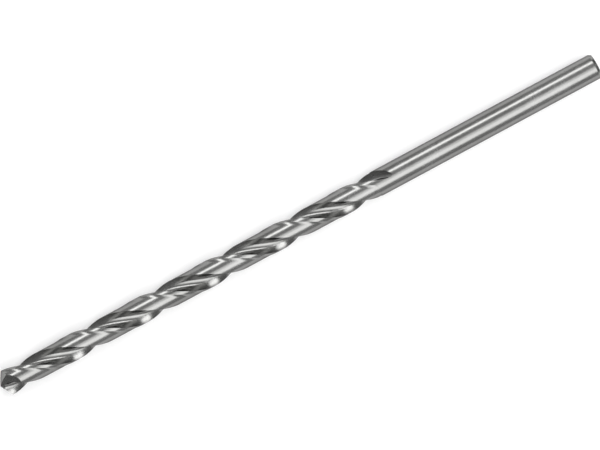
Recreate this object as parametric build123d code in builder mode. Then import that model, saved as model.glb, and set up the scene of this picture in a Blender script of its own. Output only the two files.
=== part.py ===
"""Long-series twist drill for metal: two right-hand flutes, straight shank, split point.

The axis lies along X. The origin is the centre of the shank's end face and the point is at +X.
Every length is in millimetres, and a depth is measured back from the tip.
"""

import os
from math import asin, cos, degrees, radians, sin, sqrt, tan

from build123d import *

# Blank
diameter = 5.5
overall_length = 139.0
shank_diameter = 5.46
shank_chamfer_depth = 0.3
shank_chamfer_length = 0.6

# Flutes
flute_length = 91.0
lead = 31.5
web_at_point = 1.1
web_at_run_out = 1.6
heel_overhang = 0.03
run_out_radius = 16.0
run_out_direction = 40.0

# Lands, as angles round the axis
land_angle = 90.5
margin_angle = 14.7
margin_blend_angle = 14.0
body_clearance = 0.14
body_clearance_length = 87.3

# Point
point_angle = 118.0
lip_direction = -14.4
lip_relief = 8.0
flank_radius = 4.3
flank_sweep = 70.0
notch_offset = 0.12
notch_wall_angle = 20.0
notch_fall_angle = 80.9
notch_steepness = 57.5

# The cutters start past the tip and stand clear of the blank all round.
over_run = 2.0
cutter_reach = 5.5
notch_reach = 22.0

# Sections the flute is swept through, before its run-out and along it
body_sections = 8
run_out_sections = 4

radius = diameter / 2
shank_radius = shank_diameter / 2
clearance_radius = radius - body_clearance
half_web = web_at_point / 2
half_point = radians(point_angle / 2)
tip = Vector(overall_length, 0, 0)
flank_centre_ahead = half_web + flank_radius * sin(radians(lip_relief))
flank_centre_drop = sqrt(flank_radius**2 - flank_centre_ahead**2)
lip_rise = flank_radius * cos(radians(lip_relief)) - flank_centre_drop
corner_depth = sqrt(radius**2 - half_web**2) / tan(half_point) - lip_rise
# The floor's arc is tangent to the web circle, the front face and the heel side.
web_less_overhang = half_web - heel_overhang
floor_radius = web_less_overhang + sqrt(web_less_overhang**2 + half_web**2 - heel_overhang**2)
run_out_rise = radius - web_at_run_out / 2
run_out_length = sqrt(run_out_rise * (2 * run_out_radius - run_out_rise))
run_out_start = flute_length - run_out_length
corner_turn = lip_direction + degrees(asin(half_web / radius))


def turn_at(depth):
    """Angle of a flute's leading edge at a depth behind the tip."""
    return corner_turn - 360.0 * (depth - corner_depth) / lead


def lift_at(depth):
    """How far the flute's floor has moved out from where it is at the tip."""
    taper = (web_at_run_out - web_at_point) / 2 * depth / flute_length
    past = max(0.0, depth - run_out_start)
    return taper + run_out_radius - sqrt(run_out_radius**2 - past**2)


def flute_section(depth):
    """The wheel's form: a radial front face, a round floor and the heel side."""
    lift = lift_at(depth)
    direction = radians(run_out_direction)
    with BuildSketch(mode=Mode.PRIVATE) as form:
        with BuildLine():
            front = Line((cutter_reach, 0), (floor_radius + heel_overhang, 0))
            floor = JernArc(front @ 1, (-1, 0), floor_radius, -90)
            heel = Line(floor @ 1, (heel_overhang, cutter_reach))
            Polyline(heel @ 1, (cutter_reach, cutter_reach), front @ 0)
        make_face()
    with BuildSketch(Plane.YZ.offset(overall_length - depth)) as placed:
        turned = Location((0, 0, 0), (0, 0, turn_at(depth)))
        lifted = Location((lift * cos(direction), lift * sin(direction), 0))
        with Locations(turned * lifted):
            add(form.sketch)
    return placed.sketch.face()


def on_circle(size, angle):
    """A point in the section at a radius and an angle."""
    return Vector(size * cos(radians(angle)), size * sin(radians(angle)))


def lip_axes(half_turn):
    """Directions in the end view: outward along a lip, and ahead of it."""
    along = radians(lip_direction + half_turn)
    outward = Vector(0, cos(along), sin(along))
    ahead = Vector(0, -sin(along), cos(along))
    return outward, ahead


def twist_path(depth):
    """The axis from a depth to past the tip, and a helix of the lead beside it."""
    start = overall_length - depth
    height = depth + over_run
    axis = Line((start, 0, 0), (start + height, 0, 0))
    helix = Helix(lead, height, cutter_reach, center=(start, 0, 0), direction=(1, 0, 0))
    return axis, helix


# One flute: constant form to the run-out, then the floor climbs on an arc to the surface.
body_step = (run_out_start + over_run) / body_sections
run_out_step = run_out_length / run_out_sections
body_depths = [body_step * i - over_run for i in range(body_sections)]
run_out_depths = [run_out_start + run_out_step * i for i in range(run_out_sections + 1)]
with BuildPart() as flute:
    axis_line, side_helix = twist_path(flute_length)
    forms = [flute_section(depth) for depth in reversed(body_depths + run_out_depths)]
    sweep(sections=forms, path=axis_line, binormal=side_helix, multisection=True)

# One land's body clearance: the land behind the margin is ground just under size.
with BuildPart() as clearance:
    with BuildSketch(Plane.YZ.offset(overall_length - body_clearance_length)):
        with BuildLine():
            edge_turn = turn_at(body_clearance_length)
            step_turn = edge_turn - margin_angle
            blend_turn = step_turn - margin_blend_angle
            heel_turn = edge_turn - land_angle - margin_blend_angle
            ground = CenterArc((0, 0), clearance_radius, heel_turn, blend_turn - heel_turn)
            blend = TangentArc(ground @ 1, on_circle(radius, step_turn), tangent=ground % 1)
            side = Line(blend @ 1, on_circle(diameter, step_turn))
            outer = CenterArc((0, 0), diameter, heel_turn, step_turn - heel_turn)
            Line(ground @ 0, outer @ 0)
        make_face()
    axis_line, side_helix = twist_path(body_clearance_length)
    sweep(path=axis_line, binormal=side_helix)

# The body tapers back from the point to the shank's size where the flutes end.
with BuildPart() as drill:
    with BuildSketch(Plane.XY):
        with BuildLine():
            Polyline(
                (0, 0),
                (0, shank_radius - shank_chamfer_depth),
                (shank_chamfer_length, shank_radius),
                (overall_length - flute_length, shank_radius),
                (overall_length, radius),
                (overall_length, 0),
                close=True,
            )
        make_face()
    revolve(axis=Axis.X)
    for half_turn in (0, 180):
        add(clearance.part, rotation=(half_turn, 0, 0), mode=Mode.SUBTRACT)
        add(flute.part, rotation=(half_turn, 0, 0), mode=Mode.SUBTRACT)

    # Each lip lies half a web ahead of the axis. Its flank keeps the lip's slope outward and
    # falls away behind it on an arc, and the two flanks meet on the axis in the chisel edge.
    for half_turn in (0, 180):
        outward, ahead = lip_axes(half_turn)
        with BuildSketch(Plane(tip, x_dir=ahead, z_dir=outward)):
            with BuildLine():
                centre = (flank_centre_ahead, -flank_centre_drop)
                flank = CenterArc(centre, flank_radius, 90, flank_sweep)
                heel_side = Line(flank @ 1, flank @ 1 + (flank % 1) * cutter_reach)
                Polyline(
                    heel_side @ 1,
                    ((heel_side @ 1).X, cutter_reach),
                    (cutter_reach, cutter_reach),
                    (cutter_reach, (flank @ 0).Y),
                    flank @ 0,
                )
            make_face()
        lip_slope = outward * tan(half_point) - Vector(1, 0, 0)
        extrude(amount=cutter_reach, dir=lip_slope, both=True, mode=Mode.SUBTRACT)

    # The split thins the web: a steep face on each heel side, with a wall that runs from
    # beside the chisel edge out to the other lip and makes that lip's inner part.
    for half_turn in (0, 180):
        outward, ahead = lip_axes(half_turn)
        lip_frame = Plane(tip, x_dir=outward, z_dir=(1, 0, 0))
        steepness = tan(radians(notch_steepness))
        fall = Vector(steepness, 0, 0).rotate(Axis.Z, notch_fall_angle)
        wall = Vector(1, 0, 0).rotate(Axis.Z, notch_wall_angle)
        start = Vector(0, -notch_offset, 0).rotate(Axis.Z, notch_wall_angle)
        origin = lip_frame.from_local_coords(start + Vector(0, 0, start.dot(fall)))
        root = lip_frame.from_local_coords(wall + Vector(0, 0, wall.dot(fall))) - tip
        normal = lip_frame.from_local_coords(Vector(0, 0, 1) - fall) - tip
        with BuildSketch(Plane(origin, x_dir=root, z_dir=normal)):
            Rectangle(notch_reach, notch_reach, align=(Align.CENTER, Align.MAX))
        extrude(amount=notch_reach, dir=(1, 0, 0), mode=Mode.SUBTRACT)

drill.part.label = "twist_drill"
os.makedirs("parts", exist_ok=True)
export_step(drill.part, "parts/twist_drill.step")
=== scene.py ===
from math import cos, pi, radians, sin, tan

import bpy
from mathutils import Matrix, Vector


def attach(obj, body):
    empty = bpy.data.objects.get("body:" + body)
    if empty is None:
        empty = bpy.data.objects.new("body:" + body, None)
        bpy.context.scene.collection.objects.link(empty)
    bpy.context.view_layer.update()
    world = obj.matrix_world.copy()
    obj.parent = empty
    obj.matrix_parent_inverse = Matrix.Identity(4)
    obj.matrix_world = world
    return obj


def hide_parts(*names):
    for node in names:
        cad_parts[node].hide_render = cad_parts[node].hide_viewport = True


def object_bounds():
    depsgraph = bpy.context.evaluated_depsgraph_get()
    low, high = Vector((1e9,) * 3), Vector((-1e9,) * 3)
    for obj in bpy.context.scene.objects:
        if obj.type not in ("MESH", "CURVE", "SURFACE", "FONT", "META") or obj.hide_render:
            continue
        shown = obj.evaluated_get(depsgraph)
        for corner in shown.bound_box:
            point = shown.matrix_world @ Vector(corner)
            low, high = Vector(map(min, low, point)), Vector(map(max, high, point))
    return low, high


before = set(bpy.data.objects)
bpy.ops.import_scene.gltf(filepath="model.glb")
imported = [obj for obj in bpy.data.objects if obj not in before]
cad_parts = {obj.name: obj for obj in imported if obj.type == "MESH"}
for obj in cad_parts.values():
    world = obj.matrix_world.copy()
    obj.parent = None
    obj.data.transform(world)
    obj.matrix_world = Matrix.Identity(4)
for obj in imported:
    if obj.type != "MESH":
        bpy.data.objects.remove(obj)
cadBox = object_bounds()
print("frame loaded")


# Links a socket or a node's first output, or sets a plain value.
def feed(tree, socket, value):
    if isinstance(value, bpy.types.Node):
        value = value.outputs[0]
    if isinstance(value, bpy.types.NodeSocket):
        tree.links.new(value, socket)
    else:
        socket.default_value = value


# Adds a node with its inputs fed by name or number.
def put(tree, kind, feeds, **settings):
    made = tree.nodes.new(kind)
    for name, value in settings.items():
        setattr(made, name, value)
    for key, value in feeds.items():
        feed(tree, made.inputs[key], value)
    return made


def calc(tree, operation, first, second=0.0):
    return put(tree, "ShaderNodeMath", {0: first, 1: second}, operation=operation).outputs[0]


def total(tree, first, *others):
    for other in others:
        first = calc(tree, "ADD", first, other)
    return first


# Goes from low to high while value goes from start to end, and stays flat outside.
def ramp(tree, value, start, end, low, high):
    feeds = {"Value": value, "From Min": start, "From Max": end, "To Min": low, "To Max": high}
    return put(tree, "ShaderNodeMapRange", feeds).outputs[0]


def blendTo(tree, first, second, factor):
    return put(tree, "ShaderNodeMix", {0: factor, 2: first, 3: second}).outputs[0]


# Turns a pair of lengths in the end view by an angle.
def turnPair(tree, first, second, angle):
    cosine = calc(tree, "COSINE", angle)
    sine = calc(tree, "SINE", angle)
    firstPart = calc(tree, "MULTIPLY", first, cosine)
    turnedFirst = calc(tree, "SUBTRACT", firstPart, calc(tree, "MULTIPLY", second, sine))
    secondPart = calc(tree, "MULTIPLY", first, sine)
    turnedSecond = calc(tree, "ADD", secondPart, calc(tree, "MULTIPLY", second, cosine))
    return turnedFirst, turnedSecond


# Lengths in mm, angles in degrees, depths measured back from the tip. The sizes are the
# modifier's inputs. The cutters' own lengths only have to reach clear of the blank.
drillSettings = {
    "sizes": {
        "Overall Length": 139.0,
        "Radius": 2.747,
        "Shank Radius": 2.727,
        "Clearance Radius": 2.607,
        "Chamfer Depth": 0.3,
        "Chamfer Length": 0.6,
        "Flute Length": 91.0,
        "Clearance Length": 87.3,
        "Lead": 31.5,
        "Corner Turn": -2.86,
        "Corner Depth": 1.505,
        "Margin Angle": 14.7,
        "Blend Angle": 14.0,
        "Web At Point": 1.1,
        "Web At Run Out": 1.6,
        "Heel Overhang": 0.03,
        "Floor Radius": 1.276,
        "Run Out Start": 83.345,
        "Run Out Radius": 16.0,
        "Run Out Direction": 40.0,
        "Lip Direction": -14.4,
        "Lip Slope": 0.601,
        "Flank Radius": 4.3,
        "Flank Start": 8.0,
        "Notch Offset": 0.12,
        "Notch Wall Angle": 20.0,
        "Notch Fall Angle": 80.9,
        "Notch Steepness": 57.5,
    },
    "blank": {
        "marginLap": 3.0,
        "shankNearStep": 5.5,
        "stepLength": 0.01,
        "pastTip": 0.6,
    },
    "blankSteps": {"halfTurn": 144, "margin": 14, "blend": 12, "along": 190},
    "fluteWheel": {"reach": 3.5, "pastTip": 1.0, "closingPoint": 2.1},
    "fluteSteps": {"along": 190, "runOut": 40, "floor": 28, "side": 9},
    "flankWheel": {
        "reach": 3.6,
        "sweep": 70.0,
        "sweepSteps": 40,
        "heelBack": 1.71,
        "heelDown": 4.7,
        "heelUp": 10.8,
        "cover": 8.0,
        "frontDown": 4.0,
        "closingAhead": -2.0,
        "closingUp": 3.0,
    },
    "notchWheel": {"length": 9.0, "width": 6.0, "top": 12.0},
    "areas": {"body": 0.0, "flute": 1.0, "flank": 2.0, "notch": 3.0},
    "mergeWithin": 0.0002,
    "sharpFrom": 13.0,
}


# The angle of a flute's leading edge at a depth.
def helixTurn(tree, size, depth):
    past = calc(tree, "SUBTRACT", depth, size["Corner Depth"])
    back = calc(tree, "MULTIPLY", calc(tree, "DIVIDE", past, size["Lead"]), 360.0)
    return calc(tree, "RADIANS", calc(tree, "SUBTRACT", size["Corner Turn"], back))


# A unit grid, with its whole-number counts along and across as fields.
def gridOf(tree, alongSteps, acrossSteps):
    feeds = {"Size X": 1.0, "Size Y": 1.0, "Vertices X": alongSteps + 1, "Vertices Y": acrossSteps + 1}
    grid = put(tree, "GeometryNodeMeshGrid", feeds)
    place = put(tree, "ShaderNodeSeparateXYZ", {0: tree.nodes.new("GeometryNodeInputPosition")})
    along = calc(tree, "MULTIPLY", calc(tree, "ADD", place.outputs[0], 0.5), float(alongSteps))
    across = calc(tree, "MULTIPLY", calc(tree, "ADD", place.outputs[1], 0.5), float(acrossSteps))
    return grid.outputs[0], calc(tree, "ROUND", along), calc(tree, "ROUND", across)


# Moves the mesh's points to their spots, closes its seams and marks which wheel ground it.
def closedShape(tree, mesh, spot, area, turned=False):
    moved = put(tree, "GeometryNodeSetPosition", {"Geometry": mesh, "Position": spot})
    feeds = {"Geometry": moved, "Distance": drillSettings["mergeWithin"]}
    joined = put(tree, "GeometryNodeMergeByDistance", feeds)
    if turned:
        joined = put(tree, "GeometryNodeFlipFaces", {"Mesh": joined})
    feeds = {"Geometry": joined, "Name": "groundArea", "Value": drillSettings["areas"][area]}
    return put(tree, "GeometryNodeStoreNamedAttribute", feeds, data_type="FLOAT", domain="FACE").outputs[0]


# The blank, with its two margins standing proud along the helix.
def drillBlank(tree, size):
    blank = drillSettings["blank"]
    steps = drillSettings["blankSteps"]
    halfTurn = float(steps["halfTurn"])

    # rings: end centre, end face, chamfer, plain shank, the step, the body and the far centre
    bodyStart = 5.0
    bodyEnd = bodyStart + steps["along"]
    last = bodyEnd + 1.0
    mesh, along, across = gridOf(tree, int(last), 2 * steps["halfTurn"])

    clearanceStart = calc(tree, "SUBTRACT", size["Overall Length"], size["Clearance Length"])
    plainEnd = calc(tree, "SUBTRACT", clearanceStart, blank["shankNearStep"])
    plainLength = calc(tree, "SUBTRACT", plainEnd, size["Chamfer Length"])
    nearLength = blank["shankNearStep"] - blank["stepLength"]
    bodyLength = calc(tree, "ADD", size["Clearance Length"], blank["pastTip"])
    distance = total(
        tree,
        ramp(tree, along, 1.0, 2.0, 0.0, size["Chamfer Length"]),
        ramp(tree, along, 2.0, 3.0, 0.0, plainLength),
        ramp(tree, along, 3.0, 4.0, 0.0, nearLength),
        ramp(tree, along, 4.0, bodyStart, 0.0, blank["stepLength"]),
        ramp(tree, along, bodyStart, bodyEnd, 0.0, bodyLength),
    )
    depth = calc(tree, "SUBTRACT", size["Overall Length"], distance)

    # each half turn goes back from just ahead of a margin, over its blend and the land
    half = calc(tree, "FLOOR", calc(tree, "DIVIDE", across, halfTurn))
    within = calc(tree, "SUBTRACT", across, calc(tree, "MULTIPLY", half, halfTurn))
    marginEnd = float(steps["margin"])
    blendEnd = marginEnd + steps["blend"]
    ahead = calc(tree, "ADD", size["Margin Angle"], blank["marginLap"])
    rest = calc(tree, "SUBTRACT", 180.0, calc(tree, "ADD", ahead, size["Blend Angle"]))
    behind = total(
        tree,
        ramp(tree, within, 0.0, marginEnd, 0.0, ahead),
        ramp(tree, within, marginEnd, blendEnd, 0.0, size["Blend Angle"]),
        ramp(tree, within, blendEnd, halfTurn, 0.0, rest),
    )
    turnedBack = calc(tree, "ADD", behind, calc(tree, "MULTIPLY", half, 180.0))
    lapped = calc(tree, "SUBTRACT", turnedBack, blank["marginLap"])
    twistDepth = calc(tree, "MINIMUM", depth, size["Clearance Length"])
    angle = calc(tree, "SUBTRACT", helixTurn(tree, size, twistDepth), calc(tree, "RADIANS", lapped))

    fluteDepth = ramp(tree, depth, 0.0, size["Flute Length"], 0.0, 1.0)
    taper = calc(tree, "MULTIPLY", fluteDepth, calc(tree, "SUBTRACT", size["Radius"], size["Shank Radius"]))
    landRadius = calc(tree, "SUBTRACT", size["Radius"], taper)
    blendFactor = ramp(tree, within, marginEnd, blendEnd, 1.0, 0.0)
    onShank = calc(tree, "LESS_THAN", along, bodyStart - 0.5)
    proud = calc(tree, "MAXIMUM", calc(tree, "POWER", blendFactor, 2.0), onShank)
    step = calc(tree, "SUBTRACT", landRadius, size["Clearance Radius"])
    ringRadius = calc(tree, "ADD", size["Clearance Radius"], calc(tree, "MULTIPLY", proud, step))
    chamfer = ramp(tree, along, 1.0, 2.0, size["Chamfer Depth"], 0.0)
    ringRadius = calc(tree, "SUBTRACT", ringRadius, chamfer)
    ends = calc(
        tree, "MULTIPLY",
        ramp(tree, along, 0.0, 1.0, 0.0, 1.0),
        ramp(tree, along, bodyEnd, last, 1.0, 0.0),
    )
    ringRadius = calc(tree, "MULTIPLY", ringRadius, ends)
    spot = put(tree, "ShaderNodeCombineXYZ", {
        0: distance,
        1: calc(tree, "MULTIPLY", ringRadius, calc(tree, "COSINE", angle)),
        2: calc(tree, "MULTIPLY", ringRadius, calc(tree, "SINE", angle)),
    })
    return closedShape(tree, mesh, spot, "body")


# The wheel that grinds a flute: radial front, round floor, heel side, lifting out at the run-out.
def fluteWheel(tree, size):
    wheel = drillSettings["fluteWheel"]
    steps = drillSettings["fluteSteps"]
    bodyEnd = 1.0 + steps["along"]
    runOutEnd = bodyEnd + steps["runOut"]
    last = runOutEnd + 1.0
    side = float(steps["side"])
    floorEnd = side + steps["floor"]
    heelEnd = floorEnd + side
    mesh, along, across = gridOf(tree, int(last), int(heelEnd) + 2)
    runOutLength = calc(tree, "SUBTRACT", size["Flute Length"], size["Run Out Start"])
    depth = total(
        tree,
        ramp(tree, along, 1.0, bodyEnd, -wheel["pastTip"], size["Run Out Start"]),
        ramp(tree, along, bodyEnd, runOutEnd, 0.0, runOutLength),
    )

    # the form, across from the front face over the floor to the heel side and round the back
    reach = wheel["reach"]
    overhang = size["Heel Overhang"]
    floorRadius = size["Floor Radius"]
    floorX = calc(tree, "ADD", floorRadius, overhang)
    floorTurn = ramp(tree, across, side, floorEnd, 0.0, pi / 2)
    inward = calc(tree, "MULTIPLY", calc(tree, "SINE", floorTurn), -1.0)
    sideways = calc(tree, "SUBTRACT", 1.0, calc(tree, "COSINE", floorTurn))
    offX = total(
        tree,
        calc(tree, "MULTIPLY", floorRadius, inward),
        ramp(tree, across, 0.0, side, reach, floorX),
        ramp(tree, across, heelEnd, heelEnd + 1.0, 0.0, calc(tree, "SUBTRACT", reach, overhang)),
    )
    offY = total(
        tree,
        calc(tree, "MULTIPLY", floorRadius, sideways),
        ramp(tree, across, floorEnd, heelEnd, 0.0, calc(tree, "SUBTRACT", reach, floorRadius)),
        ramp(tree, across, heelEnd + 1.0, heelEnd + 2.0, 0.0, -reach),
    )

    # the web thickens along the flute, and in the run-out the floor climbs on an arc
    webGrowth = calc(tree, "SUBTRACT", size["Web At Run Out"], size["Web At Point"])
    thicker = calc(tree, "DIVIDE", webGrowth, 2.0)
    taper = calc(tree, "MULTIPLY", thicker, calc(tree, "DIVIDE", depth, size["Flute Length"]))
    past = calc(tree, "MAXIMUM", calc(tree, "SUBTRACT", depth, size["Run Out Start"]), 0.0)
    runRadius = size["Run Out Radius"]
    drop = calc(tree, "SUBTRACT", calc(tree, "POWER", runRadius, 2.0), calc(tree, "POWER", past, 2.0))
    climb = calc(tree, "SUBTRACT", runRadius, calc(tree, "SQRT", drop))
    lift = calc(tree, "ADD", taper, climb)
    direction = calc(tree, "RADIANS", size["Run Out Direction"])
    offX = calc(tree, "ADD", offX, calc(tree, "MULTIPLY", lift, calc(tree, "COSINE", direction)))
    offY = calc(tree, "ADD", offY, calc(tree, "MULTIPLY", lift, calc(tree, "SINE", direction)))

    # the end rings close on one point, out past the blank's middle
    opened = calc(
        tree, "MULTIPLY",
        ramp(tree, along, 0.0, 1.0, 0.0, 1.0),
        ramp(tree, along, runOutEnd, last, 1.0, 0.0),
    )
    closing = calc(tree, "MULTIPLY", calc(tree, "SUBTRACT", 1.0, opened), wheel["closingPoint"])
    offX = calc(tree, "ADD", calc(tree, "MULTIPLY", offX, opened), closing)
    offY = calc(tree, "ADD", calc(tree, "MULTIPLY", offY, opened), closing)

    spotY, spotZ = turnPair(tree, offX, offY, helixTurn(tree, size, depth))
    spotX = calc(tree, "SUBTRACT", size["Overall Length"], depth)
    spot = put(tree, "ShaderNodeCombineXYZ", {0: spotX, 1: spotY, 2: spotZ})
    return closedShape(tree, mesh, spot, "flute", turned=True)


# A spot from its place at a lip: outward along it, ahead of it, and up past the tip.
def atLip(tree, size, outward, ahead, upward):
    spotY, spotZ = turnPair(tree, outward, ahead, calc(tree, "RADIANS", size["Lip Direction"]))
    spotX = calc(tree, "ADD", size["Overall Length"], upward)
    return put(tree, "ShaderNodeCombineXYZ", {0: spotX, 1: spotY, 2: spotZ})


# A lip's flank: level along the lip's slope, falling away behind it on an arc and then straight.
def flankWheel(tree, size):
    wheel = drillSettings["flankWheel"]
    arcEnd = float(wheel["sweepSteps"])
    mesh, along, across = gridOf(tree, 3, wheel["sweepSteps"] + 5)
    flankRadius = size["Flank Radius"]
    startSine = calc(tree, "SINE", calc(tree, "RADIANS", size["Flank Start"]))
    middle = calc(tree, "MULTIPLY", flankRadius, startSine)
    middle = calc(tree, "ADD", middle, calc(tree, "DIVIDE", size["Web At Point"], 2.0))
    squares = calc(tree, "SUBTRACT", calc(tree, "POWER", flankRadius, 2.0), calc(tree, "POWER", middle, 2.0))
    level = calc(tree, "SQRT", squares)
    swing = ramp(tree, across, 0.0, arcEnd, 0.0, radians(wheel["sweep"]))
    arcAhead = calc(tree, "MULTIPLY", flankRadius, calc(tree, "SINE", swing))
    arcUp = calc(tree, "MULTIPLY", flankRadius, calc(tree, "COSINE", swing))
    ahead = total(
        tree,
        calc(tree, "SUBTRACT", middle, arcAhead),
        ramp(tree, across, arcEnd, arcEnd + 1.0, 0.0, -wheel["heelBack"]),
        ramp(tree, across, arcEnd + 2.0, arcEnd + 3.0, 0.0, wheel["cover"]),
    )
    upward = total(
        tree,
        calc(tree, "SUBTRACT", arcUp, level),
        ramp(tree, across, arcEnd, arcEnd + 1.0, 0.0, -wheel["heelDown"]),
        ramp(tree, across, arcEnd + 1.0, arcEnd + 2.0, 0.0, wheel["heelUp"]),
        ramp(tree, across, arcEnd + 3.0, arcEnd + 4.0, 0.0, -wheel["frontDown"]),
    )

    # the last corner is the first again, and the end rings close on one point
    back = ramp(tree, across, arcEnd + 4.0, arcEnd + 5.0, 0.0, 1.0)
    ahead = blendTo(tree, ahead, middle, back)
    upward = blendTo(tree, upward, calc(tree, "SUBTRACT", flankRadius, level), back)
    shutFirst = ramp(tree, along, 0.0, 1.0, 1.0, 0.0)
    shutLast = ramp(tree, along, 2.0, 3.0, 0.0, 1.0)
    shut = calc(tree, "MAXIMUM", shutFirst, shutLast)
    ahead = blendTo(tree, ahead, wheel["closingAhead"], shut)
    upward = blendTo(tree, upward, wheel["closingUp"], shut)
    outward = ramp(tree, along, 1.0, 2.0, -wheel["reach"], wheel["reach"])
    upward = calc(tree, "SUBTRACT", upward, calc(tree, "MULTIPLY", outward, size["Lip Slope"]))
    return closedShape(tree, mesh, atLip(tree, size, outward, ahead, upward), "flank")


# The split that thins the point: a steep face on the heel side, with a wall along the chisel edge.
def notchWheel(tree, size):
    wheel = drillSettings["notchWheel"]
    cube = put(tree, "GeometryNodeMeshCube", {"Size": (1.0, 1.0, 1.0)})
    place = put(tree, "ShaderNodeSeparateXYZ", {0: tree.nodes.new("GeometryNodeInputPosition")})
    wall = calc(tree, "RADIANS", size["Notch Wall Angle"])
    fall = calc(tree, "RADIANS", size["Notch Fall Angle"])
    steep = calc(tree, "TANGENT", calc(tree, "RADIANS", size["Notch Steepness"]))

    # run goes along the wall, off goes away from it to the heel side
    run = calc(tree, "MULTIPLY", place.outputs[0], wheel["length"])
    off = calc(tree, "MULTIPLY", calc(tree, "ADD", place.outputs[1], 0.5), wheel["width"])
    off = calc(tree, "ADD", off, size["Notch Offset"])
    outward, ahead = turnPair(tree, run, calc(tree, "MULTIPLY", off, -1.0), wall)
    uphill = calc(
        tree, "ADD",
        calc(tree, "MULTIPLY", outward, calc(tree, "COSINE", fall)),
        calc(tree, "MULTIPLY", ahead, calc(tree, "SINE", fall)),
    )
    above = calc(tree, "ADD", place.outputs[2], 0.5)
    upward = blendTo(tree, calc(tree, "MULTIPLY", uphill, steep), wheel["top"], above)
    spot = atLip(tree, size, outward, ahead, upward)
    return closedShape(tree, cube.outputs[0], spot, "notch", turned=True)


def drillTree():
    tree = bpy.data.node_groups.new("drillGroundByRule", "GeometryNodeTree")
    panel = tree.interface
    panel.new_socket("Geometry", in_out="OUTPUT", socket_type="NodeSocketGeometry")
    panel.new_socket("Geometry", in_out="INPUT", socket_type="NodeSocketGeometry")
    for name, value in drillSettings["sizes"].items():
        panel.new_socket(name, in_out="INPUT", socket_type="NodeSocketFloat").default_value = value
    panel.new_socket("Steel", in_out="INPUT", socket_type="NodeSocketMaterial")
    size = tree.nodes.new("NodeGroupInput").outputs

    shape = drillBlank(tree, size)
    wheels = (fluteWheel(tree, size), flankWheel(tree, size), notchWheel(tree, size))
    for wheel in wheels:
        other = put(tree, "GeometryNodeTransform", {"Geometry": wheel, "Rotation": (pi, 0.0, 0.0)})
        for cutter in (wheel, other):
            cut = put(tree, "GeometryNodeMeshBoolean", {}, operation="DIFFERENCE", solver="MANIFOLD")
            feed(tree, cut.inputs["Mesh 1"], shape)
            feed(tree, cut.inputs["Mesh 2"], cutter)
            shape = cut.outputs[0]

    crease = put(tree, "GeometryNodeInputMeshEdgeAngle", {}).outputs[0]
    sharpest = radians(drillSettings["sharpFrom"])
    sharp = put(tree, "FunctionNodeCompare", {0: crease, 1: sharpest}, operation="GREATER_THAN")
    soft = put(tree, "GeometryNodeSetShadeSmooth", {"Geometry": shape, "Shade Smooth": True}, domain="FACE")
    edged = put(tree, "GeometryNodeSetShadeSmooth", {"Geometry": soft, "Selection": sharp}, domain="EDGE")
    edged.inputs["Shade Smooth"].default_value = False

    # millimetres to metres
    small = put(tree, "GeometryNodeTransform", {"Geometry": edged, "Scale": (0.001, 0.001, 0.001)})
    real = put(tree, "GeometryNodeRealizeInstances", {"Geometry": small})
    steel = put(tree, "GeometryNodeSetMaterial", {"Geometry": real, "Material": size["Steel"]})
    feed(tree, put(tree, "NodeGroupOutput", {}).inputs[0], steel)
    return tree


# Ground high-speed steel. Lengths are in metres, and a scale is in turns of noise a metre.
steelLook = {
    "bright": (0.270, 0.270, 0.266, 1.0),
    "dark": (0.210, 0.210, 0.204, 1.0),
    "edgeTint": (0.3, 0.3, 0.3, 1.0),
    "lead": 0.0315,
    "ringScale": (30000.0, 260.0, 260.0),
    "lineScale": (160.0, 16000.0, 16000.0),
    "markDetail": 4.0,
    "cloudScale": 220.0,
    "cloudDetail": 5.0,
    "cloudFrom": 0.3,
    "cloudTo": 0.7,
    "leastBright": 0.35,
    "roughness": 0.15,
    "cloudRoughness": 0.1,
    "markRoughness": 0.1,
    "markStrength": 0.25,
    "markHeight": 0.00001,
}


def noiseOf(tree, place, scale, detail):
    return put(tree, "ShaderNodeTexNoise", {"Vector": place, "Scale": scale, "Detail": detail}).outputs[0]


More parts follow.
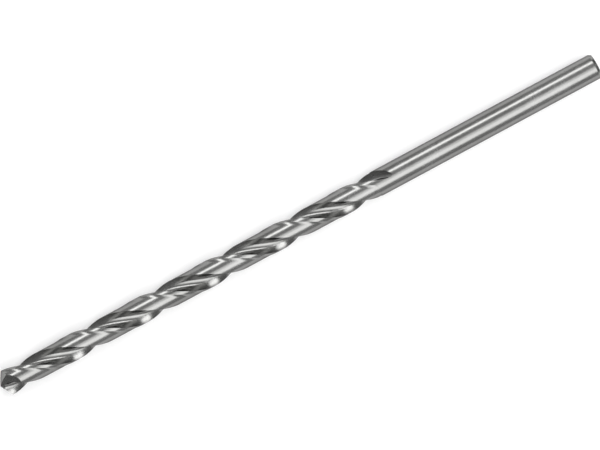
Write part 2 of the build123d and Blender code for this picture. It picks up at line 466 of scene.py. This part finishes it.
def drillSteel():
    steel = bpy.data.materials.new("groundToolSteel")
    steel.use_nodes = True
    tree = steel.node_tree
    shader = tree.nodes["Principled BSDF"]
    shader.inputs["Metallic"].default_value = 1.0
    shader.inputs["Specular Tint"].default_value = steelLook["edgeTint"]

    place = put(tree, "ShaderNodeTexCoord", {}).outputs["Object"]
    parts = put(tree, "ShaderNodeSeparateXYZ", {0: place})
    area = put(tree, "ShaderNodeAttribute", {}, attribute_name="groundArea").outputs["Fac"]
    inFlute = calc(tree, "COMPARE", area, drillSettings["areas"]["flute"])

    # rings round the axis, on the shank, the lands and the point
    rings = put(tree, "ShaderNodeMapping", {0: place, 3: steelLook["ringScale"]})
    ringNoise = noiseOf(tree, rings, 1.0, steelLook["markDetail"])

    # lines along the helix in the flutes, straight once the twist is taken out
    unwound = calc(tree, "MULTIPLY", parts.outputs[0], -2 * pi / steelLook["lead"])
    straight = put(tree, "ShaderNodeVectorRotate", {0: place, 3: unwound}, rotation_type="X_AXIS")
    lines = put(tree, "ShaderNodeMapping", {0: straight, 3: steelLook["lineScale"]})
    lineNoise = noiseOf(tree, lines, 1.0, steelLook["markDetail"])
    marks = blendTo(tree, ringNoise, lineNoise, inFlute)

    # a faint cloudiness in the colour and the polish
    cloud = noiseOf(tree, place, steelLook["cloudScale"], steelLook["cloudDetail"])
    mottle = ramp(tree, cloud, steelLook["cloudFrom"], steelLook["cloudTo"], steelLook["leastBright"], 1.0)
    feeds = {0: mottle, 6: steelLook["dark"], 7: steelLook["bright"]}
    colour = put(tree, "ShaderNodeMix", feeds, data_type="RGBA")
    feed(tree, shader.inputs["Base Color"], colour.outputs[2])
    cloudPart = calc(tree, "MULTIPLY", cloud, steelLook["cloudRoughness"])
    markPart = calc(tree, "MULTIPLY", marks, steelLook["markRoughness"])
    feed(tree, shader.inputs["Roughness"], total(tree, cloudPart, steelLook["roughness"], markPart))

    feeds = {"Height": marks, "Strength": steelLook["markStrength"], "Distance": steelLook["markHeight"]}
    feed(tree, shader.inputs["Normal"], put(tree, "ShaderNodeBump", feeds))
    return steel


# Grinds the drill once through its nodes and keeps the result as a plain mesh.
def makeDrill():
    steel = drillSteel()
    drill = bpy.data.objects.new("groundDrill", bpy.data.meshes.new("groundDrill"))
    bpy.context.scene.collection.objects.link(drill)
    grinding = drill.modifiers.new("grinding", "NODES")
    tree = drillTree()
    grinding.node_group = tree
    for socket in tree.interface.items_tree:
        if socket.in_out == "INPUT" and socket.name in drillSettings["sizes"]:
            grinding[socket.identifier] = drillSettings["sizes"][socket.name]
        if socket.name == "Steel":
            grinding[socket.identifier] = steel
    settled = drill.evaluated_get(bpy.context.evaluated_depsgraph_get())
    plain = bpy.data.meshes.new_from_object(settled)
    drill.modifiers.remove(grinding)
    drill.data = plain
    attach(drill, "root")
    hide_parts("twist_drill")
    print("drill ground:", len(plain.vertices), "points,", len(plain.polygons), "faces")


makeDrill()


# The floor, the room and the camera. Lengths in metres, angles in degrees.
stageSizes = {
    "floor": 1.6,
    "floorColour": (0.8, 0.8, 0.8, 1.0),
    "floorRoughness": 0.9,
    "floorGlow": 0.26,
    "lampAway": 0.6,
    "roomSides": 0.5,
    "roomEnds": 0.22,
    "sidesTo": 0.15,
    "endsFrom": 0.75,
    "cameraAway": 1.2,
    "cameraLean": 4.0,
    "cameraRoll": 28.3,
    "viewWidth": 0.123,
    "viewMiddle": 0.0694,
    "filmWidth": 36.0,
    "farthest": 10.0,
}

# Long lamps over the drill, and one panel past its shank.
lamps = {
    "stripLamp": {
        "offVertical": -43.0,
        "offEnd": 0.0,
        "halfWidth": 8.5,
        "length": 0.5,
        "radiance": 4.1,
    },
    "softPanel": {
        "offVertical": 34.0,
        "offEnd": 0.0,
        "halfWidth": 16.0,
        "length": 0.6,
        "radiance": 2.6,
    },
    "panelEdge": {
        "offVertical": 9.5,
        "offEnd": 0.0,
        "halfWidth": 8.0,
        "length": 0.6,
        "radiance": 1.5,
    },
    "endPanel": {
        "offVertical": -1.0,
        "offEnd": -42.5,
        "halfWidth": 11.0,
        "length": 0.44,
        "radiance": 4.4,
    },
}


# A pale floor. Cameras and mirrors see it a little lighter, and it lights the drill as it is.
def makeFloor():
    half = stageSizes["floor"]
    low = cadBox[0][2]
    corners = [(-half, -half, low), (half, -half, low), (half, half, low), (-half, half, low)]
    mesh = bpy.data.meshes.new("floor")
    mesh.from_pydata(corners, [], [(0, 1, 2, 3)])
    floor = bpy.data.objects.new("floor", mesh)
    bpy.context.scene.collection.objects.link(floor)
    paint = bpy.data.materials.new("paleFloor")
    paint.use_nodes = True
    tree = paint.node_tree
    shader = tree.nodes["Principled BSDF"]
    shader.inputs["Base Color"].default_value = stageSizes["floorColour"]
    shader.inputs["Roughness"].default_value = stageSizes["floorRoughness"]
    shader.inputs["Specular IOR Level"].default_value = 0.0
    shader.inputs["Emission Color"].default_value = (1.0, 1.0, 1.0, 1.0)
    rays = put(tree, "ShaderNodeLightPath", {})
    mirrored = calc(tree, "MAXIMUM", rays.outputs["Is Glossy Ray"], rays.outputs["Is Transmission Ray"])
    seen = calc(tree, "MAXIMUM", rays.outputs["Is Camera Ray"], mirrored)
    feed(tree, shader.inputs["Emission Strength"], calc(tree, "MULTIPLY", seen, stageSizes["floorGlow"]))
    mesh.materials.append(paint)


# A soft lamp off the vertical, by an angle towards +Y and by one towards the point.
def hangLamp(name, lamp):
    away = stageSizes["lampAway"]
    width = 2 * away * tan(radians(lamp["halfWidth"]))
    data = bpy.data.lights.new(name, "AREA")
    data.shape = "RECTANGLE"
    data.size = lamp["length"]
    data.size_y = width
    data.energy = lamp["radiance"] * pi * width * lamp["length"]
    hung = bpy.data.objects.new(name, data)
    bpy.context.scene.collection.objects.link(hung)
    across = radians(lamp["offVertical"])
    along = radians(lamp["offEnd"])
    way = Vector((sin(along), cos(along) * sin(across), cos(along) * cos(across)))
    hung.location = Vector((stageSizes["viewMiddle"], 0.0, 0.0)) + way * away
    hung.rotation_euler = way.to_track_quat("Z", "Y").to_euler()
    hung.visible_camera = False


# The room is grey to both sides of the drill and darker along it.
def makeLight():
    room = bpy.data.worlds.new("room")
    room.use_nodes = True
    tree = room.node_tree
    way = put(tree, "ShaderNodeSeparateXYZ", {0: put(tree, "ShaderNodeTexCoord", {}).outputs["Generated"]})
    along = calc(tree, "ABSOLUTE", way.outputs[0])
    sides, ends = stageSizes["roomSides"], stageSizes["roomEnds"]
    level = ramp(tree, along, stageSizes["sidesTo"], stageSizes["endsFrom"], sides, ends)
    grey = put(tree, "ShaderNodeCombineColor", {0: level, 1: level, 2: level})
    feed(tree, tree.nodes["Background"].inputs[0], grey)
    bpy.context.scene.world = room
    for name, lamp in lamps.items():
        hangLamp(name, lamp)


# Looks straight down on the drill from far off, leaning a little towards its point.
def makeCamera():
    data = bpy.data.cameras.new("camera")
    data.sensor_width = stageSizes["filmWidth"]
    data.lens = data.sensor_width * stageSizes["cameraAway"] / stageSizes["viewWidth"]
    data.clip_end = stageSizes["farthest"]
    camera = bpy.data.objects.new("camera", data)
    bpy.context.scene.collection.objects.link(camera)
    lean = radians(stageSizes["cameraLean"])
    slope = radians(stageSizes["cameraRoll"])
    back = Vector((sin(lean), 0.0, cos(lean)))
    alongDrill = Vector((-cos(lean), 0.0, sin(lean)))
    acrossDrill = Vector((0.0, -1.0, 0.0))
    right = alongDrill * cos(slope) - acrossDrill * sin(slope)
    up = alongDrill * sin(slope) + acrossDrill * cos(slope)
    spot = Vector((stageSizes["viewMiddle"], 0.0, 0.0)) + back * stageSizes["cameraAway"]
    camera.matrix_world = Matrix((
        (right.x, up.x, back.x, spot.x),
        (right.y, up.y, back.y, spot.y),
        (right.z, up.z, back.z, spot.z),
        (0.0, 0.0, 0.0, 1.0),
    ))
    bpy.context.scene.camera = camera


makeFloor()
makeLight()
makeCamera()
bpy.context.scene.view_settings.view_transform = "Standard"
print("stage set")
